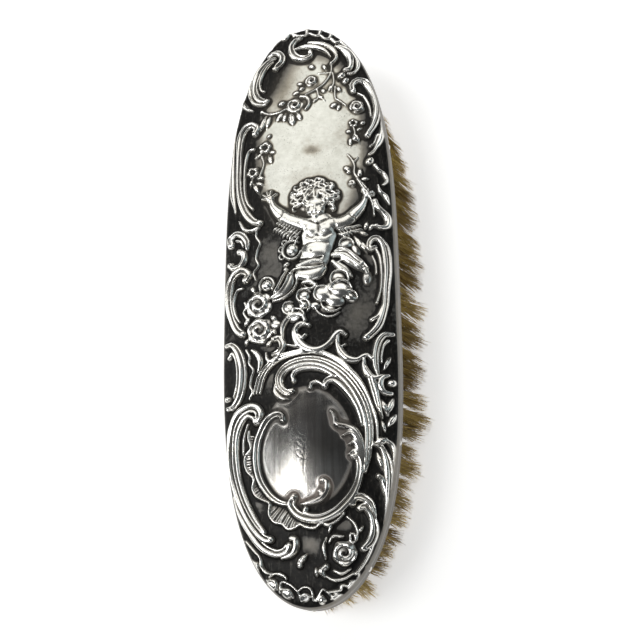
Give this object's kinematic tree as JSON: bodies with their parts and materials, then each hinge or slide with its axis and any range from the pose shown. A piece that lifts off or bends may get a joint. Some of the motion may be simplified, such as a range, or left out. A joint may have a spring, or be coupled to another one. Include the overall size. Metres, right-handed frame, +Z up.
{
  "type": "vanity brush",
  "caption": "Long oval handle-less vanity brush: a domed, embossed silver back pinned over a wooden stock set with bristle knots in rows.",
  "frame": {"origin": "on the plane of the bristle tips, under the middle of the brush", "axes": "+Z up through the silver back, +Y along the brush, +X across it"},
  "size_m": [0.0618, 0.1788, 0.036],
  "materials": {
    "silver": "stamped silver, polished high points and dark tarnish in the hollows",
    "silver_pins": "domed silver pins, lightly tarnished",
    "cement": "dark shellac cement",
    "board_wood": "thin sawn beech, unfinished",
    "screw_brass": "turned brass",
    "stock_wood": "dark stained, waxed hardwood",
    "bristle": "natural hog bristle, pale ochre",
    "wire": "soft drawn brass wire"
  },
  "bodies": {
    "root": {"silver_back": "silver", "rim_pins": "silver_pins", "cement_bed": "cement", "cover_board": "board_wood", "board_screws": "screw_brass", "bristle_stock": "stock_wood", "bristle_row_border": "bristle", "bristle_row_1": "bristle", "bristle_row_2": "bristle", "bristle_row_3": "bristle", "bristle_row_4": "bristle", "bristle_row_5": "bristle", "bristle_row_6": "bristle", "bristle_row_7": "bristle", "draw_wire_border": "wire", "draw_wire_1": "wire", "draw_wire_2": "wire", "draw_wire_3": "wire", "draw_wire_4": "wire", "draw_wire_5": "wire", "draw_wire_6": "wire", "draw_wire_7": "wire"}
  },
  "joints": []
}
